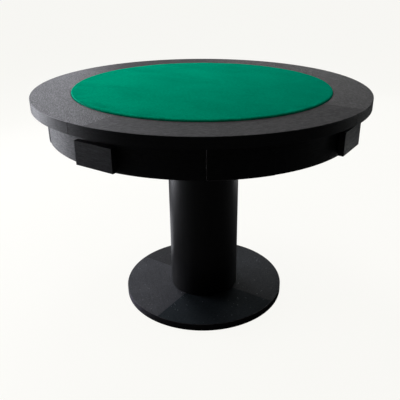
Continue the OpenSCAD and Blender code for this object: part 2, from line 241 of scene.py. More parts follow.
def dusty_veneer(name, grain, tone, dust, rough, cool):
    """The base's veneer, with the specks that feet and sweeping leave, and a patch beside the column painted
    darker as painted shade. Cool makes its shine bluer.
    """
    shader = Shader(name, {"IOR": 1.5, "Specular Tint": (1 - 0.4 * cool, 1 - 0.15 * cool, 1.0, 1.0)})
    place = shader.flat_coords(grain)
    dark = tuple(tone * c for c in (0.009, 0.009, 0.011))
    light = tuple(tone * c for c in (0.032, 0.033, 0.038))
    colour = grained(shader, place, dark, light, VENEER_WEAR, rough)
    here = shader.flat_coords()
    patch = shader.ramp(shader.noise(here, 16, 4.0), 0.4, 0.66)
    settled = shader.math("MULTIPLY", shader.ramp(patch, 0, 1, 0.6, 1.0), dust)
    film = shader.math("MULTIPLY", shader.noise(here, 520, 3.0, 0.7), settled)
    colour = shader.mix(film, colour, DUST_COLOUR)
    # painted shade: the patch beside the column is painted darker
    painted_shade = shader.ramp(shader.distance(here, SHADE_SPOT), SHADE_REACH, SHADE_MIDDLE, 0.0, 0.65)
    colour = shader.mix(painted_shade, colour, SHADE_COLOUR)
    fine = shader.math("MULTIPLY", shader.specks(here, 190, 0.3, 0.14), shader.math("ADD", patch, 0.15))
    coarse = shader.specks(here, 75, 0.17, 0.1)
    away = shader.distance(here, DUST_SPOT)
    threads = shader.ramp(shader.noise(here, (230, 60, 60), 3.0, 0.7), 0.6, 0.68)
    lint = shader.math("MULTIPLY", threads, shader.ramp(away, DUST_REACH, 0.0))
    spots = shader.math("MAXIMUM", shader.math("MAXIMUM", fine, coarse), lint)
    colour = shader.mix(shader.math("MULTIPLY", spots, 0.55), colour, SPECK_COLOUR)
    shader.set({"Base Color": colour})
    return shader.material


def round_wood(name, dark, light, wear, rough):
    """Black-stained wood bent round the table, with its grain along the bend."""
    shader = Shader(name, {"IOR": 1.5})
    grained(shader, shader.round_coords(), dark, light, wear, rough)
    return shader.material


def rim_wood(name, rubbed):
    """The rim's bent edging: a dark glue line at its ends, and the top corner painted pale by a share, for
    rubbed wear and a painted highlight.
    """
    shader = Shader(name, {"IOR": 1.5})
    colour = grained(shader, shader.round_coords(), (0.005, 0.005, 0.006), (0.014, 0.014, 0.016), 0.0, 0.36)
    corner = shader.rounded(CORNER_ROUND)
    end = shader.ramp(shader.math("ABSOLUTE", shader.dot(corner, shader.clockwise())), 0.08, 0.3)
    colour = shader.mix(end, colour, (0.002, 0.002, 0.002))
    shader.set({"Specular IOR Level": shader.ramp(end, 0.0, 1.0, 0.5, 0.0)})
    # rubbed wear and painted highlight: the top corner is painted pale
    top = shader.math("MULTIPLY", shader.ramp(shader.dot(corner, (0, 0, 1)), 0.1, 0.5), rubbed)
    shader.set({"Base Color": shader.mix(top, colour, (0.42, 0.42, 0.44))})
    return shader.material


def base_wood(name):
    """The base's bent edging, painted pale in patches on the side that faces the window light: painted
    light.
    """
    shader = Shader(name, {"IOR": 1.5})
    place = shader.round_coords()
    colour = grained(shader, place, (0.014, 0.013, 0.017), (0.04, 0.037, 0.047), 0.5, 0.4)
    # painted light: the edging is painted paler where it faces the window
    facing_light = shader.ramp(shader.dot(shader.facing(), LIT_SIDE_WAY), 0.36, 0.84)
    patches = shader.ramp(shader.noise(place, (40, 120, 40), 3.0), 0.3, 0.6, 0.65, 1.0)
    scuffed = shader.math("MULTIPLY", facing_light, patches)
    shader.set({"Base Color": shader.mix(scuffed, colour, (0.2, 0.19, 0.235))})
    return shader.material


def panel_wood(name):
    """A splice panel's bent wood, its lower edge and its clockwise end painted pale: worn stain, and a
    painted highlight where they face the light.
    """
    shader = Shader(name, {"IOR": 1.5})
    colour = grained(shader, shader.round_coords(), (0.008, 0.008, 0.009), (0.023, 0.023, 0.024), 0.5, 0.42)
    corner = shader.rounded(PANEL_ROUND)
    # worn stain and painted highlight: the clockwise end and the lower edge are painted pale
    end = shader.ramp(shader.dot(corner, shader.clockwise()), 0.15, 0.5)
    down = shader.dot(corner, (0, 0, -1))
    not_flat = shader.ramp(down, 0.97, 0.8, 0.0, 0.8)
    lower_edge = shader.math("MULTIPLY", shader.ramp(down, 0.15, 0.5), not_flat)
    worn_and_lit = shader.math("MAXIMUM", end, lower_edge)
    rubbed = shader.ramp(shader.noise(shader.round_coords(), 60, 3.0), 0.3, 0.5, 0.35, 1.0)
    shader.set({"Base Color": shader.mix(shader.math("MULTIPLY", worn_and_lit, rubbed), colour, (0.62, 0.61, 0.6))})
    return shader.material


def face_wood(name, side):
    """A drawer's flat face, with its grain lying level."""
    shader = Shader(name, {"IOR": 1.5})
    place = shader.flat_coords(90 * side + 90)
    grained(shader, place, (0.009, 0.009, 0.011), (0.034, 0.034, 0.04), 0.5, 0.4)
    return shader.material


def column_paint():
    """Black brushed paint with a fine orange peel, scuffed near the base."""
    shader = Shader("column_paint", {"IOR": 1.5, "Specular IOR Level": 0.5})
    place = shader.round_coords()
    peel = shader.noise(place, 420, 2.0)
    streaks = shader.noise(place, (90, 4, 90), 3.0)
    low = shader.ramp(shader.add("SeparateXYZ", {0: place}).outputs[1], 0.2, 0.03)
    scuffs = shader.ramp(shader.noise(place, (40, 260, 40), 4.0, 0.7), 0.6, 0.7)
    scuffed = shader.math("MULTIPLY", scuffs, shader.math("MULTIPLY", low, 0.35))
    colour = shader.mix(shader.ramp(streaks, 0.3, 0.7), (0.009, 0.009, 0.01), (0.014, 0.014, 0.015))
    colour = shader.mix(scuffed, colour, (0.1, 0.1, 0.11))
    rough = shader.ramp(streaks, 0.2, 0.8, 0.31, 0.41)
    shader.set({"Base Color": colour, "Roughness": rough, "Normal": shader.bump(peel, 0.05 * MM)})
    return shader.material


def board(name, dark, light, fibre, rough=0.7):
    """Pressed fibreboard: short fibres lying every way, with darker and paler flecks."""
    shader = Shader(name, {"IOR": 1.45})
    place = shader.flat_coords()
    fibres = shader.noise(place, fibre, 5.0, 0.7, 1.5)
    clouds = shader.noise(place, 18, 3.0)
    tone = shader.math("ADD", shader.math("MULTIPLY", fibres, 0.7), shader.math("MULTIPLY", clouds, 0.3))
    colour = shader.mix(shader.ramp(tone, 0.36, 0.64), dark, light)
    flecks = shader.specks(place, 260, 0.35, 0.2)
    colour = shader.mix(shader.math("MULTIPLY", flecks, 0.4), colour, tuple(0.5 * c for c in dark))
    shader.set({"Base Color": colour, "Roughness": rough, "Normal": shader.bump(fibres, 0.12 * MM)})
    return shader.material


def beech(name, turn=None):
    """Planed raw beech. Its grain lies along the direction turn (degrees), or stands upright without one."""
    shader = Shader(name, {"IOR": 1.45})
    if turn is None:
        around, up, away = shader.add("SeparateXYZ", {0: shader.round_coords()}).outputs
        place = shader.add("CombineXYZ", {0: up, 1: around, 2: away}).outputs[0]
    else:
        place = shader.flat_coords(turn)
    bands = shader.noise(place, (3, 70, 70), 4.0, 0.6, 0.4)
    rays = shader.ramp(shader.noise(place, (260, 1500, 1500), 2.0), 0.6, 0.68)
    colour = shader.mix(shader.ramp(bands, 0.3, 0.7), (0.46, 0.29, 0.15), (0.66, 0.47, 0.28))
    colour = shader.mix(shader.math("MULTIPLY", rays, 0.5), colour, (0.27, 0.15, 0.07))
    rough = shader.ramp(bands, 0.3, 0.7, 0.62, 0.5)
    shader.set({"Base Color": colour, "Roughness": rough, "Normal": shader.bump(rays, -0.05 * MM)})
    return shader.material


def baize():
    """Green baize: a dense wool nap with a soft sheen, brushed in broad patches. Its colour is painted
    lighter towards the window and on its edge that faces the window: painted light.
    """
    shader = Shader("baize", {"Roughness": 0.95, "Specular IOR Level": 0.0, "Sheen Weight": 0.4,
                              "Sheen Roughness": 0.45, "Sheen Tint": (0.0, 1.0, 0.7, 1)})
    place = shader.flat_coords()
    nap = shader.noise(place, 1700, 3.0, 0.65)
    tufts = shader.noise(place, 230, 4.0, 0.7)
    brushed = shader.noise(place, (5, 8, 5), 3.0, 0.55, 0.6)
    tone = shader.math("ADD", shader.math("MULTIPLY", nap, 0.3), shader.math("MULTIPLY", tufts, 0.5))
    tone = shader.math("ADD", tone, shader.math("MULTIPLY", brushed, 0.2))
    colour = shader.mix(shader.ramp(tone, 0.38, 0.62), (0.0, 0.23, 0.119), (0.0, 0.44, 0.227))
    pills = shader.specks(place, 300, 0.22, 0.05)
    colour = shader.mix(shader.math("MULTIPLY", pills, 0.35), colour, (0.0, 0.5, 0.3))
    # painted light: the colour grows lighter towards the side the window light comes from
    shade = shader.mix(shader.ramp(shader.dot(place, WINDOW_WAY), -0.45, 0.45), (0.8,) * 3, (1.22,) * 3)
    colour = shader.multiply(colour, shade)
    # rucked nap and painted shade: patches near the edge on one side are painted darker, standing for the
    # dents' shade too
    rucked_side = shader.ramp(shader.dot(place, RUCKED_SHADED_SIDE), 0.1, 0.3)
    away = shader.add("SeparateXYZ", {0: shader.round_coords()}).outputs[2]
    rim = shader.ramp(away, RUCK_SHADE_START, RUCK_SHADE_FULL)
    rucks = shader.ramp(shader.noise(place, (34, 34, 34), 3.0, 0.6, 0.4), 0.46, 0.6)
    rucked_and_shaded = shader.math("MULTIPLY", rucks, shader.math("MULTIPLY", rucked_side, rim))
    colour = shader.mix(shader.math("MULTIPLY", rucked_and_shaded, 0.4), colour, (0.0, 0.16, 0.085))
    # painted highlight: the edge that faces the window is painted bright green
    painted_edge_highlight = shader.ramp(shader.dot(shader.facing(), WINDOW_WAY), 0.25, 0.7, 0.0, 0.9)
    colour = shader.mix(painted_edge_highlight, colour, (0.04, 0.95, 0.58))
    soft = shader.bump(tufts, 0.25 * MM)
    shader.set({"Base Color": colour, "Normal": shader.bump(nap, 0.22 * MM, soft)})
    return shader.material


def foam():
    """Yellowed open-cell foam."""
    shader = Shader("foam", {"Roughness": 0.9, "Subsurface Weight": 0.1})
    place = shader.flat_coords()
    cells = shader.add("TexVoronoi", {"Vector": place, "Scale": 900.0}).outputs["Distance"]
    colour = shader.mix(shader.ramp(cells, 0.2, 0.7), (0.82, 0.74, 0.5), (0.6, 0.5, 0.3))
    shader.set({"Base Color": colour, "Normal": shader.bump(cells, -0.4 * MM)})
    return shader.material


def zinc():
    """Bright zinc plating, a little tarnished."""
    shader = Shader("bright_zinc", {"Metallic": 1.0})
    place = shader.flat_coords()
    tarnish = shader.noise(place, 180, 4.0, 0.6)
    grit = shader.noise(place, 2200, 2.0)
    colour = shader.mix(shader.ramp(tarnish, 0.35, 0.65), (0.5, 0.5, 0.49), (0.68, 0.68, 0.64))
    rough = shader.ramp(tarnish, 0.3, 0.7, 0.42, 0.26)
    shader.set({"Base Color": colour, "Roughness": rough, "Normal": shader.bump(grit, 0.03 * MM)})
    return shader.material


def spun_steel(name, centre):
    """Stainless steel with the fine rings that spinning leaves round the cup's axis."""
    shader = Shader(name, {"Metallic": 1.0, "Anisotropic": 0.5})
    place = shader.round_coords(tuple(centre))
    rings = shader.noise(place, (25, 2600, 2600), 2.0)
    smears = shader.noise(place, 45, 3.0)
    colour = shader.mix(shader.ramp(rings, 0.3, 0.7), (0.5, 0.5, 0.5), (0.66, 0.66, 0.66))
    smeared = shader.ramp(smears, 0.4, 0.7, 0.0, 0.12)
    rough = shader.math("ADD", shader.ramp(rings, 0.3, 0.7, 0.2, 0.3), smeared)
    shader.set({"Base Color": colour, "Roughness": rough, "Normal": shader.bump(rings, 0.02 * MM)})
    return shader.material


def moulded_black():
    """Black moulded plastic, scuffed grey."""
    shader = Shader("moulded_black", {"IOR": 1.46})
    place = shader.flat_coords()
    grit = shader.noise(place, 900, 3.0)
    scuffs = shader.ramp(shader.noise(place, 120, 4.0, 0.7), 0.52, 0.7)
    colour = shader.mix(shader.math("MULTIPLY", scuffs, 0.5), (0.018, 0.018, 0.019), (0.09, 0.088, 0.085))
    shader.set({"Base Color": colour, "Roughness": shader.ramp(grit, 0.3, 0.7, 0.45, 0.65),
                "Normal": shader.bump(grit, 0.05 * MM)})
    return shader.material


def paint(material, *names):
    """Gives CAD nodes a material."""
    for name in names:
        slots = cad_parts[name].data.materials
        slots.clear()
        slots.append(material)


def paint_frame(steel):
    """Gives every CAD node that is kept its material."""
    bent = round_wood("black_bent_board", (0.009, 0.009, 0.011), (0.022, 0.022, 0.025), 0.5, 0.4)
    panel = panel_wood("black_panel")
    black = board("black_fibreboard", (0.012, 0.012, 0.012), (0.034, 0.033, 0.032), 700)
    raw = board("raw_fibreboard", (0.3, 0.19, 0.1), (0.47, 0.33, 0.2), 700, 0.85)
    for i, corner in enumerate(CORNERS):
        grain = 90 * i + 135
        paint(veneer("ring_veneer_" + corner, grain, *RING_TONES[corner]), "ring_" + corner)
        paint(dusty_veneer("base_veneer_" + corner, grain, *BASE_TONES[corner]), "base_veneer_" + corner)
        paint(rim_wood("rim_edging_" + corner, RIM_RUBBED_AND_LIT[corner]), "rim_band_" + corner)
        paint(panel, "splice_panel_" + corner)
    for i, side in enumerate(SIDES):
        paint(bent, "apron_" + side)
        paint(face_wood("face_veneer_" + side, i), f"drawer_{side}_face")
        paint(black, f"drawer_{side}_tray")
        paint(beech("beech_" + side, 90 * i), f"drawer_{side}_dowels", "guides_" + side)
    paint(beech("beech_strips", 0), "runner_strips")
    paint(beech("beech_blocks"), "splice_blocks")
    paint(base_wood("base_edging"), "base_band")
    paint(column_paint(), "column_tube")
    paint(black, "base_plate", "mount_disc", "sub_top")
    paint(raw, "column_bottom_plug", "column_top_plug", "insert_board")
    paint(steel, "tie_washers")


# ---- meshes ----

ON_AXIS = 1e-7


def new_piece(name, material, points, faces, smooth=True):
    """An object made from points and faces, in the scene."""
    mesh = bpy.data.meshes.new(name)
    mesh.from_pydata([tuple(p) for p in points], [], faces)
    mesh.validate()
    if smooth:
        mesh.shade_smooth()
    mesh.materials.append(material)
    piece = bpy.data.objects.new(name, mesh)
    bpy.context.scene.collection.objects.link(piece)
    return piece


def strips(rows, steps, closed=False):
    """Quads between rows of steps points, each closed on itself. Closed joins the last row to the first."""
    faces = []
    pairs = [(k, k + 1) for k in range(rows - 1)]
    if closed:
        pairs.append((rows - 1, 0))
    for a, b in pairs:
        for i in range(steps):
            j = (i + 1) % steps
            faces.append((a * steps + i, a * steps + j, b * steps + j, b * steps + i))
    return faces


def ring_points(radius, height, steps):
    """Points spread evenly over a level circle."""
    turns = [TURN * i / steps for i in range(steps)]
    return [(radius * math.cos(t), radius * math.sin(t), height) for t in turns]


def row_points(rows, start=0.0):
    """The points of rows of (r, z), each row spread evenly round the upright axis from the angle start."""
    points = []
    for row in rows:
        for i, (r, z) in enumerate(row):
            t = TURN * i / len(row) + start
            points.append(Vector((r * math.cos(t), r * math.sin(t), z)))
    return points


def arc(centre, radius, start, end, steps):
    """Points (r, z) of an arc, from one angle to another in degrees."""
    turns = [math.radians(start + (end - start) * k / steps) for k in range(steps + 1)]
    return [(centre[0] + radius * math.cos(t), centre[1] + radius * math.sin(t)) for t in turns]


def turned(profile, steps, centre=(0, 0)):
    """Points and faces of a closed profile (r, z) turned round an upright axis."""
    points, faces, rows = [], [], []
    for r, z in profile:
        if r < ON_AXIS:  # one point, shared by all steps
            rows.append([len(points)] * steps)
            points.append((centre[0], centre[1], z))
        else:
            rows.append(list(range(len(points), len(points) + steps)))
            points += [(centre[0] + x, centre[1] + y, z) for x, y, z in ring_points(r, z, steps)]
    for a, b in zip(rows, rows[1:] + rows[:1]):
        for i in range(steps):
            j = (i + 1) % steps
            face = []
            for v in (a[i], a[j], b[j], b[i]):
                if v not in face:
                    face.append(v)
            if len(face) > 2:
                faces.append(face)
    return points, faces


# ---- the playing surface ----

FELT_LOW, FELT_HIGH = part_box("felt_cover")
FELT_EDGE = 5.5 * MM  # how far the padded edge rounds inwards
FELT_CROWN = 4.5 * MM  # how far it rounds down
FELT_THICK = 0.9 * MM
FELT_WRAP = 30 * MM  # how far it lies back under the board
FELT_TUCK = 2.2 * MM  # how far its lower corner lies inside its side
FELT_CORNER = 1.6 * MM  # the radius of that corner
FELT_STEPS = 720
FOAM_EDGE = 5 * MM
CLOTH_FRAMES = 20
PUCKER_LIMIT = 0.8 * MM  # how far the simulation may move a point
SINK_LIMIT = 0.15 * MM  # of a pucker, so that the felt never sinks into the board
STAPLES = 90
DENT_BAND = 40 * MM  # the width along the edge in which the top lies unevenly
DENT_INSIDE = 15 * MM  # how far inside the edge the dents' middles lie
DENT_REACH = 13 * MM  # half their size across the edge
# Dents just inside the felt's edge, where it is drawn unevenly over the foam: direction (degrees), half
# width and depth (millimetres)
DENTS = ((262, 16, 1.4), (269, 11, 1.2), (276, 14, 1.3), (284, 12, 1.0), (293, 14, 0.8), (354, 16, 1.4),
         (347, 12, 1.0), (339, 14, 0.9), (20, 14, 0.9), (118, 15, 1.2), (160, 13, 1.0), (215, 14, 1.0))


def felt_profile():
    """The felt's outer face, from near the middle of the top over the edge to the end of the wrap."""
    radius, top = FELT_HIGH.x, FELT_HIGH.z - 0.3 * MM
    low = FELT_LOW.z + 0.35 * MM
    flat = radius - FELT_EDGE
    inner = [(r * flat, top) for r in (0.25, 0.5, 0.7, 0.8)]
    outer = [(flat - d * MM, top) for d in (60, 48, 38, 30, 23, 17, 12, 8, 4)]
    bend = [(flat + FELT_EDGE * r, top - FELT_CROWN * (1 - z)) for r, z in arc((0, 0), 1, 90, 0, 9)]
    side = [(radius - 0.05 * d * MM, top - FELT_CROWN - d * MM) for d in (3, 6, 9, 12)]
    under = arc((radius - FELT_TUCK, low + FELT_CORNER), FELT_CORNER, 0, -90, 3)
    wrap = [(radius - FELT_TUCK - d * MM, low) for d in (4, 9, 15, 22)] + [(radius - FELT_WRAP, low)]
    return inner + outer + bend + side + under + wrap


def make_felt(material):
    """The felt as one sheet, drawn over the foam and stapled under the board."""
    profile = felt_profile()
    points = [(0, 0, profile[0][1])]
    for r, z in profile:
        points += ring_points(r, z, FELT_STEPS)
    faces = [tuple(1 + v for v in face) for face in strips(len(profile), FELT_STEPS)]
    faces = [face[::-1] for face in faces]
    faces += [(0, 1 + i, 1 + (i + 1) % FELT_STEPS) for i in range(FELT_STEPS)]
    felt = new_piece("playing_felt", material, points, faces)
    pucker(felt, profile)
    dent_edge(felt)
    thicken = felt.modifiers.new("thickness", "SOLIDIFY")
    thicken.thickness = FELT_THICK
    thicken.offset = -1
    apply_modifiers(felt)
    return felt


def apply_modifiers(piece):
    """Makes what the modifiers show the piece's own mesh."""
    shown = piece.evaluated_get(bpy.context.evaluated_depsgraph_get())
    made = bpy.data.meshes.new_from_object(shown)
    piece.modifiers.clear()
    old = piece.data
    piece.data = made
    bpy.data.meshes.remove(old)


def pucker(felt, profile):
    """Slackens the felt over its foam by cloth simulation. The flat top and the stapled wrap are held."""
    held = felt.vertex_groups.new(name="held")
    still = last_still_row(profile)
    for row, (r, z) in enumerate(profile):
        first = 1 + row * FELT_STEPS
        if row <= still or z < FELT_LOW.z + 1 * MM:
            held.add(range(first, first + FELT_STEPS), 1.0, "REPLACE")
    held.add([0], 1.0, "REPLACE")
    core = make_core()
    cloth = felt.modifiers.new("cloth", "CLOTH")
    cloth.collision_settings.distance_min = 0.5 * MM
    settings = cloth.settings
    settings.quality = 6
    settings.mass = 0.15
    settings.air_damping = 4
    settings.tension_stiffness = 20
    settings.compression_stiffness = 20
    settings.shear_stiffness = 8
    settings.bending_stiffness = 0.4
    settings.shrink_min = -0.012  # slack: the cloth is cut a little too large
    settings.vertex_group_mass = "held"
    settings.effector_weights.gravity = 0
    settings.use_pressure = True
    settings.uniform_pressure_force = 0.4
    scene = bpy.context.scene
    for number in range(1, CLOTH_FRAMES + 1):
        scene.frame_set(number)
    shown = felt.evaluated_get(bpy.context.evaluated_depsgraph_get())
    moved = [v.co.copy() for v in shown.data.vertices]
    felt.modifiers.clear()
    for vertex, place in zip(felt.data.vertices, moved):
        shift = place - vertex.co
        if shift.length > PUCKER_LIMIT:
            shift *= PUCKER_LIMIT / shift.length
        sunk = -shift.dot(vertex.normal)
        if sunk > SINK_LIMIT:
            shift += (sunk - SINK_LIMIT) * vertex.normal
        vertex.co += shift
    bpy.data.objects.remove(core)
    scene.frame_set(1)


def last_still_row(profile):
    """The last row of the top that the simulation leaves alone."""
    flat = FELT_HIGH.x - FELT_EDGE
    return max(k for k, (r, z) in enumerate(profile) if z > FELT_HIGH.z - 1 * MM and r < flat - 45 * MM)


def make_core():
    """The board and foam as one solid, for the felt to lie on while it is simulated."""
    radius, top = FELT_HIGH.x - 1.1 * MM, FELT_HIGH.z - 1.4 * MM
    low = FELT_LOW.z + 1.4 * MM
    bend = [(radius + FELT_EDGE * (r - 1), top - FELT_CROWN * (1 - z)) for r, z in arc((0, 0), 1, 90, 0, 9)]
    profile = [(0, top)] + bend + [(radius - 0.6 * MM, low), (0, low)]
    points, faces = turned(profile, 360)
    core = new_piece("core", None, points, faces)
    core.modifiers.new("collision", "COLLISION")
    core.collision.thickness_outer = 0.4 * MM
    return core


def dent_edge(felt):
    """Presses the shallow dents into the top near its edge, and lets the top lie a little unevenly."""
    flat = FELT_HIGH.x - FELT_EDGE
    for vertex in felt.data.vertices:
        x, y, z = vertex.co
        away = math.hypot(x, y)
        if z < FELT_HIGH.z - FELT_CROWN or away < 0.2:
            continue
        near = min(max((away - flat + DENT_BAND) / DENT_BAND, 0), 1) ** 2
        drop = 0.5 * MM * near * (noise.noise(Vector((x * 40, y * 40, 3.0))) - 0.2)
        inside = (flat - DENT_INSIDE - away) / DENT_REACH
        for direction, width, depth in DENTS:
            turn = (math.degrees(math.atan2(y, x)) - direction + 180) % 360 - 180
            along = math.radians(turn) * away / (width * MM) - 0.6 * inside
            drop -= depth * MM * math.exp(-along * along - inside * inside)
        vertex.co.z += min(drop, 0.2 * MM)


def make_foam(material):
    """The foam pad under the felt, with its edge trimmed round."""
    low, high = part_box("insert_foam")
    radius, top = high.x - 2 * MM, high.z - 1.6 * MM
    foot = low.z + 0.1 * MM
    profile = [(0, top)] + [(radius * k / 8 - FOAM_EDGE, top) for k in range(2, 8)]
    profile += arc((radius - FOAM_EDGE, top - FOAM_EDGE), FOAM_EDGE, 90, 0, 8)
    profile += [(radius, foot), (0, foot)]
    points, faces = turned(profile, 240)
    wavy = []
    for x, y, z in points:
        dent = 0.25 * MM * noise.noise(Vector((x * 60, y * 60, 0.5))) if z > low.z + 1 * MM else 0
        wavy.append((x, y, z + min(dent, 0.1 * MM)))
    return new_piece("foam_pad", material, wavy, faces)


def make_staples(material):
    """The staples that hold the felt's wrap to the board: flat crowns lying along the edge."""
    radius = FELT_HIGH.x - FELT_WRAP + 9 * MM
    half, wire, thick = 5 * MM, 0.6 * MM, 0.35 * MM
    low = FELT_LOW.z + 0.05 * MM
    rng = random.Random(5)
    points, faces = [], []
    nose = half + 0.3 * MM
    outline = [(-half, -wire), (half, -wire), (nose, 0), (half, wire), (-half, wire), (-nose, 0)]
    for k in range(STAPLES):
        turn = Matrix.Rotation(TURN * (k + rng.uniform(-0.12, 0.12)) / STAPLES, 3, "Z")
        skew = Matrix.Rotation(rng.uniform(-0.15, 0.15), 3, "Z")
        first = len(points)
        for z in (low, low + thick):
            for x, y in outline:
                place = skew @ Vector((y, x, 0)) + Vector((radius, 0, z))
                points.append(turn @ place)
        count = len(outline)
        faces.append(tuple(first + i for i in range(count)))
        faces.append(tuple(first + count + i for i in reversed(range(count))))
        for i in range(count):
            j = (i + 1) % count
            faces.append((first + i, first + count + i, first + count + j, first + j))
    return new_piece("felt_staples", material, points, faces, smooth=False)


# ---- cups, glides and fasteners ----

def make_cup(side):
    """A spun cup: rounded foot, straight wall and a rolled rim that rests on the tray."""
    low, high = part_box(f"drawer_{side}_cup")
    centre = (low + high) / 2
    flange = (high.x - low.x) / 2
    wall, inner = 1.2 * MM, flange - 5 * MM
    foot = 6 * MM
    profile = [(0, low.z), (inner + wall - foot, low.z)]
    profile += arc((inner + wall - foot, low.z + foot), foot, -90, 0, 6)
    profile += [(inner + wall, high.z - wall - 0.4 * MM), (inner + 2 * wall, high.z - wall)]
    profile += arc((flange - wall / 2, high.z - wall / 2), wall / 2, -90, 90, 6)
    profile += arc((inner + 1.4 * MM, high.z - 1.4 * MM), 1.4 * MM, 90, 180, 5)
    profile += arc((inner - foot + wall, low.z + foot), foot - wall, 0, -90, 6)
    profile += [(inner * 0.62, low.z + wall), (inner * 0.58, low.z + wall + 0.5 * MM),
                (inner * 0.5, low.z + wall + 0.5 * MM), (inner * 0.46, low.z + wall), (0, low.z + wall)]
    points, faces = turned(profile, 96, centre)
    cup = new_piece(f"cup_{side}", spun_steel("spun_steel_" + side, centre), points, faces)
    finish_piece(cup, side + "_drawer", "cup_steel", f"drawer_{side}_cup")


def islands(name):
    """The separate solids of a CAD node, each as a list of its corners."""
    bm = bmesh.new()
    bm.from_mesh(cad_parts[name].data)
    bmesh.ops.remove_doubles(bm, verts=bm.verts, dist=1e-6)
    found, seen = [], set()
    for start in bm.verts:
        if start in seen:
            continue
        seen.add(start)
        stack, group = [start], []
        while stack:
            v = stack.pop()
            group.append(v.co.copy())
            for e in v.link_edges:
                other = e.other_vert(v)
                if other not in seen:
                    seen.add(other)
                    stack.append(other)
        found.append(group)
    bm.free()
    return found


def island_box(corners):
    """The lowest and highest corner of an island's box."""
    low = Vector(min(c[k] for c in corners) for k in range(3))
    high = Vector(max(c[k] for c in corners) for k in range(3))
    return low, high


def screw_axis(corners):
    """A screw's head centre, the direction it points in, and its length, from its CAD corners."""
    middle = sum(corners, Vector()) / len(corners)
    spokes = [c - middle for c in corners]
    far = sorted(spokes, key=lambda s: s.length)[-1]
    far_half = [c for c, s in zip(corners, spokes) if s.dot(far) > 0]
    near_half = [c for c, s in zip(corners, spokes) if s.dot(far) <= 0]
    ends = [sum(group, Vector()) / len(group) for group in (far_half, near_half)]
    along = (ends[0] - ends[1]).normalized()
    reach = [s.dot(along) for s in spokes]
    low, high = min(reach), max(reach)
    high_end = [s for s in spokes if s.dot(along) > high - 0.2 * MM]
    low_end = [s for s in spokes if s.dot(along) < low + 0.2 * MM]
    high_width = max((s - along * s.dot(along)).length for s in high_end)
    low_width = max((s - along * s.dot(along)).length for s in low_end)
    if high_width > low_width:
        along, low, high = -along, -high, -low
    return middle + along * low, along, high - low, max(high_width, low_width)


def screw_mesh(length, head):
    """A countersunk screw pointing down from z = 0: head with a star recess, threaded shank, point."""
    steps = 24
    shank, root = 0.5 * head, 0.36 * head
    rows = []
    star = [0.36 * head * (1 + 0.22 * math.cos(6 * TURN * i / steps)) for i in range(steps)]
    for depth, scale in ((-1.9 * MM, 0.75), (-1.5 * MM, 0.95), (-0.15 * MM, 1.0)):
        rows.append([(r * scale, depth) for r in star])
    rows += [[(head * 0.55, 0.0)] * steps, [(head * 0.96, -0.02 * MM)] * steps, [(head, -0.3 * MM)] * steps]
    rows.append([(shank, -0.66 * head)] * steps)
    smooth_to, pitch = 0.3 * length, 2.4 * MM
    rows.append([(shank, -smooth_to)] * steps)
    z = smooth_to + 0.5 * MM
    while z < length - 6 * MM:
        for r, dz in ((root, 0.0), (root, 0.9 * MM), (shank, 1.3 * MM), (root, 1.7 * MM)):
            rows.append([(r, -z - dz - pitch * i / steps) for i in range(steps)])
        z += pitch
    rows.append([(0.05 * MM, -length)] * steps)
    faces = [face[::-1] for face in strips(len(rows), steps)]
    faces.append(tuple(range(steps)))
    faces.append(tuple(reversed(range((len(rows) - 1) * steps, len(rows) * steps))))
    return row_points(rows), faces


def make_screws(node, material):
    """All the screws of one CAD node as one piece, each with its recess turned its own way."""
    rng = random.Random(len(node))
    points, faces = [], []
    for corners in islands(node):
        top, along, length, head = screw_axis(corners)
        shape, shape_faces = screw_mesh(length, head)
        turn = along.to_track_quat("-Z", "Y").to_matrix() @ Matrix.Rotation(rng.uniform(0, TURN), 3, "Z")
        first = len(points)
        points += [top + turn @ p for p in shape]
        faces += [tuple(first + v for v in face) for face in shape_faces]
    piece = new_piece(node.replace("_screws", "_star_screws"), material, points, faces)
    sharpen(piece)
    finish_piece(piece, "table", "zinc_steel", node)


def sharpen(piece, degrees=35):
    """Smooth shading that keeps the piece's corners crisp."""
    piece.data.set_sharp_from_angle(angle=math.radians(degrees))


def finish_piece(piece, body, slot, *nodes):
    """Says which body a piece moves with, and the CAD nodes that it stands for; slot is not used."""
    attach(piece, body)
    if nodes:
        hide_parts(*nodes)


def make_nuts(material):
    """Hexagon nuts with chamfered corners and a countersunk hole."""
    steps = 72
    points, faces = [], []
    for corners in islands("tie_nuts"):
        low, high = island_box(corners)
        flats = (high.y - low.y) / 2
        hole = 0.63 * flats
        sunk_hole, face = hole + 0.7 * MM, 0.95 * flats
        hexagon = [flats / math.cos((TURN * i / steps) % (TURN / 6) - TURN / 12) for i in range(steps)]
        slope = math.tan(math.radians(30))
        drop = [(r - face) * slope for r in hexagon]
        rows = [[(hole, low.z + 0.6 * MM)] * steps, [(sunk_hole, low.z)] * steps, [(face, low.z)] * steps]
        rows.append([(r, low.z + d) for r, d in zip(hexagon, drop)])
        rows.append([(r, high.z - d) for r, d in zip(hexagon, drop)])
        rows += [[(face, high.z)] * steps, [(sunk_hole, high.z)] * steps]
        rows.append([(hole, high.z - 0.6 * MM)] * steps)
        first = len(points)
        points += row_points(rows, -TURN / 12)
        faces += [tuple(first + v for v in face) for face in strips(len(rows), steps, closed=True)]
    piece = new_piece("hexagon_nuts", material, points, faces)
    sharpen(piece)
    finish_piece(piece, "table", "zinc_steel", "tie_nuts")


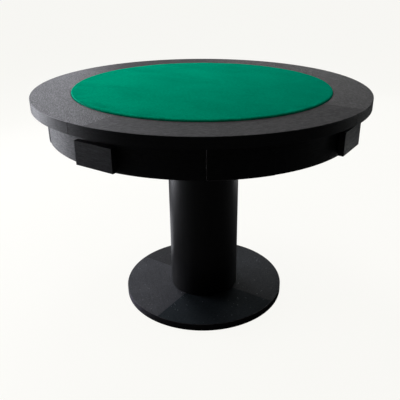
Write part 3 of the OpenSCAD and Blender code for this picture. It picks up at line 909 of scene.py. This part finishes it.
def make_rod(material):
    """The tie rod, with a rolled thread at each end and chamfered tips."""
    low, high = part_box("tie_rod")
    radius, steps, pitch = (high.x - low.x) / 2, 24, 1.75 * MM
    root, crest, plain, tip = (radius - d * MM for d in (0.9, 0.05, 0.1, 1.2))
    threaded = 24 * MM
    rows = [[(tip, low.z)] * steps]

    def thread(start):
        for k in range(int(threaded / pitch)):
            z = start + k * pitch
            for r, dz in ((root, 0.3), (crest, 0.5), (crest, 0.6)):
                rows.append([(r, z + (dz + i / steps) * pitch) for i in range(steps)])

    thread(low.z)
    rows.append([(plain, low.z + threaded + 3 * MM)] * steps)
    rows.append([(plain, high.z - threaded - 3 * MM)] * steps)
    thread(high.z - threaded - pitch)
    rows.append([(tip, high.z)] * steps)
    points = row_points([(r, min(max(z, low.z), high.z)) for r, z in row] for row in rows)
    faces = strips(len(rows), steps)
    faces += [tuple(reversed(range(steps))), tuple(range((len(rows) - 1) * steps, len(rows) * steps))]
    piece = new_piece("threaded_rod", material, points, faces)
    sharpen(piece, 50)
    finish_piece(piece, "table", "zinc_steel", "tie_rod")


def make_glides(material):
    """Nail-on glides: a domed rim, a dished sole and the nail's recess."""
    points, faces = [], []
    for corners in islands("glides"):
        low, high = island_box(corners)
        centre, radius = (low + high) / 2, (high.x - low.x) / 2
        profile = [(0, high.z), (radius, high.z)]
        profile += arc((radius - 1.2 * MM, low.z + 1.2 * MM), 1.2 * MM, 0, -90, 5)
        profile += [(0.42 * radius, low.z), (0.36 * radius, low.z + 0.5 * MM)]
        profile += [(0.3 * radius, low.z + 1.6 * MM), (0, low.z + 1.6 * MM)]
        made, made_faces = turned(profile[::-1], 48, centre)
        first = len(points)
        points += made
        faces += [tuple(first + v for v in face) for face in made_faces]
    piece = new_piece("round_glides", material, points, faces)
    sharpen(piece)
    finish_piece(piece, "table", "glide_plastic", "glides")


# ---- studio ----

TABLE_MIDDLE = Vector((0, 0, 0.5))
WINDOW_COLOUR = (0.97, 0.98, 1.06)
LIGHT_SIZE = 1.1
FLOOR_SHADED = (0.08, 0.08, 0.078)
FLOOR_GLOW = (0.93, 0.925, 0.895)
FLOOR_DIM = (0.12, 0.12, 0.12)
FLOOR_RADIUS = 30
WORLD_DIM = (0.001, 0.001, 0.001)
WORLD_SEEN = FLOOR_GLOW  # so that no horizon shows


def make_camera():
    """The camera, at the angle and distance that make the table look as it does in the picture."""
    data = bpy.data.cameras.new("camera")
    data.lens = CAMERA_LENS
    data.shift_x = CAMERA_SHIFT
    camera = bpy.data.objects.new("camera", data)
    bpy.context.scene.collection.objects.link(camera)
    azimuth = math.radians(CAMERA_AZIMUTH)
    turn = Matrix.Rotation(azimuth - math.radians(CAMERA_YAW), 4, "Z")
    tilt = Matrix.Rotation(math.radians(90 - CAMERA_DOWN), 4, "X")
    roll = Matrix.Rotation(math.radians(CAMERA_ROLL), 4, "Z")
    place = Vector((CAMERA_AWAY * math.sin(azimuth), -CAMERA_AWAY * math.cos(azimuth), CAMERA_HEIGHT))
    camera.matrix_world = Matrix.Translation(place) @ turn @ tilt @ roll
    bpy.context.scene.camera = camera


def make_floor():
    """A pale floor. Camera rays see it evenly pale; the table sees it as a dim studio floor."""
    bm = bmesh.new()
    bmesh.ops.create_circle(bm, cap_ends=True, segments=128, radius=FLOOR_RADIUS)
    mesh = bpy.data.meshes.new("floor")
    bm.to_mesh(mesh)
    bm.free()
    material = bpy.data.materials.new("floor")
    material.use_nodes = True
    tree = material.node_tree
    tree.nodes.clear()
    path = tree.nodes.new("ShaderNodeLightPath")
    pale = tree.nodes.new("ShaderNodeBsdfDiffuse")
    pale.inputs["Color"].default_value = (*FLOOR_SHADED, 1)
    glow = tree.nodes.new("ShaderNodeEmission")
    glow.inputs["Color"].default_value = (*FLOOR_GLOW, 1)
    seen = tree.nodes.new("ShaderNodeAddShader")
    dim = tree.nodes.new("ShaderNodeBsdfDiffuse")
    dim.inputs["Color"].default_value = (*FLOOR_DIM, 1)
    choose = tree.nodes.new("ShaderNodeMixShader")
    out = tree.nodes.new("ShaderNodeOutputMaterial")
    tree.links.new(pale.outputs[0], seen.inputs[0])
    tree.links.new(glow.outputs[0], seen.inputs[1])
    tree.links.new(path.outputs["Is Camera Ray"], choose.inputs[0])
    tree.links.new(dim.outputs[0], choose.inputs[1])
    tree.links.new(seen.outputs[0], choose.inputs[2])
    tree.links.new(choose.outputs[0], out.inputs[0])
    mesh.materials.append(material)
    floor = bpy.data.objects.new("floor", mesh)
    bpy.context.scene.collection.objects.link(floor)


def make_world():
    """An almost black world that camera rays see as pale as the floor."""
    world = bpy.data.worlds.new("studio")
    bpy.context.scene.world = world
    world.use_nodes = True
    tree = world.node_tree
    tree.nodes.clear()
    path = tree.nodes.new("ShaderNodeLightPath")
    dim = tree.nodes.new("ShaderNodeBackground")
    dim.inputs["Color"].default_value = (*WORLD_DIM, 1)
    pale = tree.nodes.new("ShaderNodeBackground")
    pale.inputs["Color"].default_value = (*WORLD_SEEN, 1)
    choose = tree.nodes.new("ShaderNodeMixShader")
    out = tree.nodes.new("ShaderNodeOutputWorld")
    tree.links.new(path.outputs["Is Camera Ray"], choose.inputs[0])
    tree.links.new(dim.outputs[0], choose.inputs[1])
    tree.links.new(pale.outputs[0], choose.inputs[2])
    tree.links.new(choose.outputs[0], out.inputs[0])


def place_light(name, place, aim, size, power, colour):
    """A square area light that the camera doesn't see."""
    data = bpy.data.lights.new(name, "AREA")
    data.shape = "SQUARE"
    data.size = size
    data.energy = power
    data.color = colour
    light = bpy.data.objects.new(name, data)
    bpy.context.scene.collection.objects.link(light)
    light.location = place
    light.rotation_mode = "QUATERNION"
    light.rotation_quaternion = aim.to_track_quat("-Z", "Y")
    light.visible_camera = False


def make_light(name, azimuth, rise, away, power, colour=(1, 1, 1)):
    """A soft light that faces the table, standing at azimuth (0 is the camera's) and rise, in degrees."""
    turn, lift = math.radians(CAMERA_AZIMUTH + azimuth), math.radians(rise)
    level = away * math.cos(lift)
    reach = Vector((level * math.sin(turn), -level * math.cos(turn), away * math.sin(lift)))
    place_light(name, TABLE_MIDDLE + reach, -reach, LIGHT_SIZE, power, colour)


def make_bounce(name, azimuth, away, size, power, colour=(1, 1, 1)):
    """Light that a bright patch of floor throws back up."""
    turn = math.radians(CAMERA_AZIMUTH + azimuth)
    place = Vector((away * math.sin(turn), -away * math.cos(turn), 10 * MM))
    place_light(name, place, Vector((0, 0, 1)), size, power, colour)


def make_lights():
    """Windows behind the table on the left, a pale ceiling and walls, and the floor's bounce."""
    make_light("window_left", -110, 4, 2.5, 26.1, WINDOW_COLOUR)
    make_light("window_far_left", -88, 4, 2.5, 3.9, WINDOW_COLOUR)
    make_light("window_behind", -150, 15, 2.5, 6.7, WINDOW_COLOUR)
    make_light("upper_window_left", -110, 38, 3.6, 9.2, WINDOW_COLOUR)
    make_light("upper_window_behind", -150, 38, 3.6, 19, WINDOW_COLOUR)
    make_light("ceiling_behind", -160, 68, 3.6, 33)
    make_light("ceiling_front", 0, 68, 3.6, 14.5)
    make_light("wall_right", 112, 6, 3.6, 6.5, (0.95, 1.0, 1.0))
    make_light("wall_behind_middle", 180, 20, 3.6, 2)
    make_light("wall_behind", 168, 20, 3.6, 3.8)
    make_light("wall_behind_right", 150, 20, 3.6, 2.3)
    make_light("wall_behind_low", 157, 6, 3.6, 2.9)
    make_bounce("floor_left", -110, 1.7, 0.9, 10.5, WINDOW_COLOUR)
    make_bounce("floor_right", 130, 1.7, 0.9, 3.8)
    make_bounce("floor_by_base", -140, 0.55, 0.4, 0.4, WINDOW_COLOUR)


# ---- the scene ----

def cover_insert(steel):
    """The felt, its foam and its staples. The felt was cut as a circle that reaches to the wrap's end."""
    felt = make_felt(baize())
    finish_piece(felt, "felt_insert", "green_felt", "felt_cover")
    pad = make_foam(foam())
    finish_piece(pad, "felt_insert", "foam", "insert_foam")
    finish_piece(make_staples(steel), "felt_insert", "zinc_steel")


def main():
    bpy.context.scene.view_settings.view_transform = "Standard"
    make_camera()
    make_floor()
    make_world()
    make_lights()
    steel = zinc()
    paint_frame(steel)
    cover_insert(steel)
    for side in SIDES:
        make_cup(side)
    for node in ("column_screws", "top_screws", "apron_screws"):
        make_screws(node, steel)
    make_nuts(steel)
    make_rod(steel)
    make_glides(moulded_black())


main()
